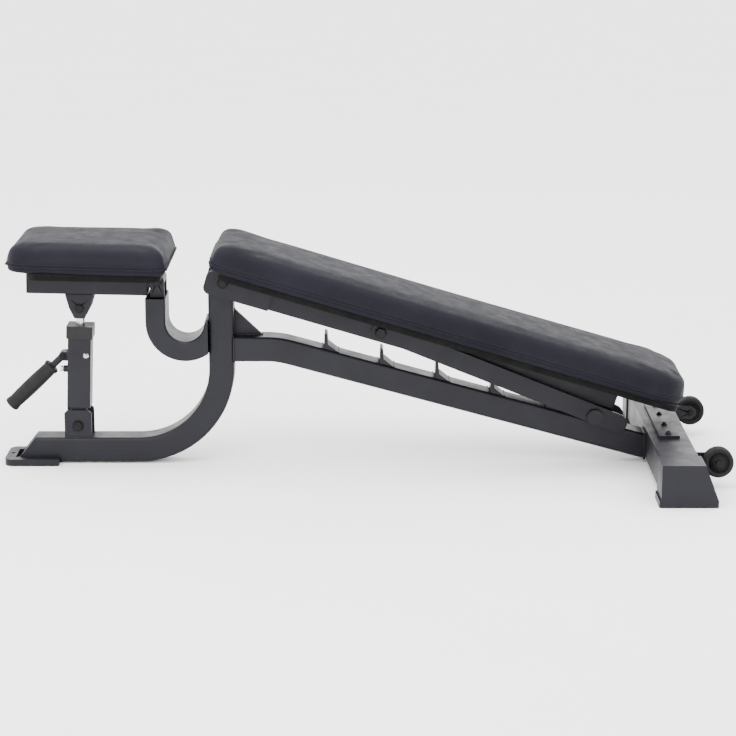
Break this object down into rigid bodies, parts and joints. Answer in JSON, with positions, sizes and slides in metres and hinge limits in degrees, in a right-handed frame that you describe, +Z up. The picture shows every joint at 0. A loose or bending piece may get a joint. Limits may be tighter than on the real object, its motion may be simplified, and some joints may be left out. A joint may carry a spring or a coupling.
{
  "type": "adjustable weight bench",
  "caption": "Flat padded exercise bench with a hinged back raised on a ladder strut, a tilting seat on a telescopic post, a wide foot and transport wheels.",
  "frame": {"origin": "on the floor, at the middle of the bench's box", "axes": "+X to the head end, +Y to the far side, +Z up"},
  "size_m": [1.432, 0.67, 0.4611],
  "materials": {
    "frame_paint": "charcoal powder coat, fine texture, satin",
    "pad_vinyl": "charcoal grained vinyl, soft sheen",
    "board_wood": "plywood under black dust cloth",
    "black_plastic": "moulded black plastic, fine texture",
    "tyre_rubber": "matt black rubber tread",
    "grip_rubber": "ribbed black grip",
    "bolt_steel": "black oxide fasteners",
    "bright_steel": "bright plated steel"
  },
  "bodies": {
    "frame": {"main_tube": "frame_paint", "main_tube_cap": "black_plastic", "seat_support_tube": "frame_paint", "spine_tube": "frame_paint", "gusset_plate": "frame_paint", "ladder_hooks": "frame_paint", "cross_member": "frame_paint", "mount_plate": "frame_paint", "mount_bolts": "bolt_steel", "head_foot_near": "frame_paint", "head_foot_far": "frame_paint", "seat_foot": "frame_paint", "wheel_bracket_near": "frame_paint", "wheel_bracket_far": "frame_paint", "wheel_axles": "bolt_steel", "back_hinge_lug": "frame_paint", "seat_cheeks": "frame_paint", "seat_hinge_pin": "bolt_steel", "post_cheeks": "frame_paint", "post_foot_pin": "bolt_steel"},
    "back": {"back_pad": "pad_vinyl", "back_board": "board_wood", "back_tube": "frame_paint", "back_tube_cap": "black_plastic", "hinge_ears": "frame_paint", "hinge_bolt": "bolt_steel", "strut_spacers": "black_plastic", "strut_pivot_bolt": "bolt_steel", "back_pad_tabs": "frame_paint", "back_pad_screws": "bolt_steel"},
    "strut": {"strut_arm_near": "frame_paint", "strut_arm_far": "frame_paint", "strut_pin": "frame_paint", "strut_brace": "frame_paint"},
    "seat": {"seat_pad": "pad_vinyl", "seat_board": "board_wood", "seat_tube": "frame_paint", "seat_tube_cap": "black_plastic", "seat_hinge_lug": "frame_paint", "seat_clevis": "frame_paint", "seat_clevis_pin": "bolt_steel", "seat_pad_tabs": "frame_paint", "seat_pad_screws": "bolt_steel"},
    "post_housing": {"post_sleeve": "frame_paint", "post_collar": "black_plastic", "post_foot_lug": "frame_paint", "lever_cheeks": "frame_paint", "lever_pin": "bolt_steel", "lock_boss": "frame_paint", "guide_screw": "bright_steel"},
    "post_rod": {"post_rod": "bright_steel", "rod_guide": "black_plastic"},
    "lever": {"release_lever": "frame_paint", "lever_grip": "grip_rubber"},
    "lock_pin": {"lock_pin": "bright_steel"},
    "wheel_near": {"wheel_hub_near": "black_plastic", "tyre_near": "tyre_rubber"},
    "wheel_far": {"wheel_hub_far": "black_plastic", "tyre_far": "tyre_rubber"}
  },
  "joints": [
    {"name": "back_hinge", "type": "hinge", "parent": "frame", "child": "back", "pos_m": [-0.2745, 0, 0.37], "axis": [0, -1, 0], "range_deg": [0, 95]},
    {"name": "strut_pivot", "type": "hinge", "parent": "back", "child": "strut", "pos_m": [0.03676, 0, 0.27154], "axis": [0, -1, 0], "range_deg": [-141, 0]},
    {"name": "seat_hinge", "type": "hinge", "parent": "frame", "child": "seat", "pos_m": [-0.404, 0, 0.372], "axis": [0, 1, 0], "range_deg": [0, 12]},
    {"name": "post_tilt", "type": "hinge", "parent": "frame", "child": "post_housing", "pos_m": [-0.5685, 0, 0.077], "axis": [0, -1, 0], "range_deg": [0, 2.1]},
    {"name": "post_slide", "type": "slide", "parent": "post_housing", "child": "post_rod", "axis": [0.0396, 0, 0.9992], "range_m": [0, 0.0345]},
    {"name": "lever_pivot", "type": "hinge", "parent": "post_housing", "child": "lever", "pos_m": [-0.59597, 0, 0.2172], "axis": [0, 1, 0], "range_deg": [0, 18], "stiffness_Nm_per_rad": 1},
    {"name": "lock_slide", "type": "slide", "parent": "post_housing", "child": "lock_pin", "axis": [-0.9992, 0, 0.0396], "range_m": [0, 0.0058]},
    {"name": "wheel_near_spin", "type": "hinge", "parent": "frame", "child": "wheel_near", "pos_m": [0.6867, -0.1975, 0.0513], "axis": [0, 1, 0], "continuous": true},
    {"name": "wheel_far_spin", "type": "hinge", "parent": "frame", "child": "wheel_far", "pos_m": [0.6867, 0.1975, 0.0513], "axis": [0, 1, 0], "continuous": true}
  ],
  "couplings": [
    {"joint": "strut_pivot", "follows": "back_hinge", "ratio": -1.48},
    {"joint": "post_tilt", "follows": "seat_hinge", "ratio": 0.1634},
    {"joint": "post_slide", "follows": "seat_hinge", "m_per_rad": 0.15867},
    {"joint": "lock_slide", "follows": "lever_pivot", "m_per_rad": 0.0175}
  ]
}
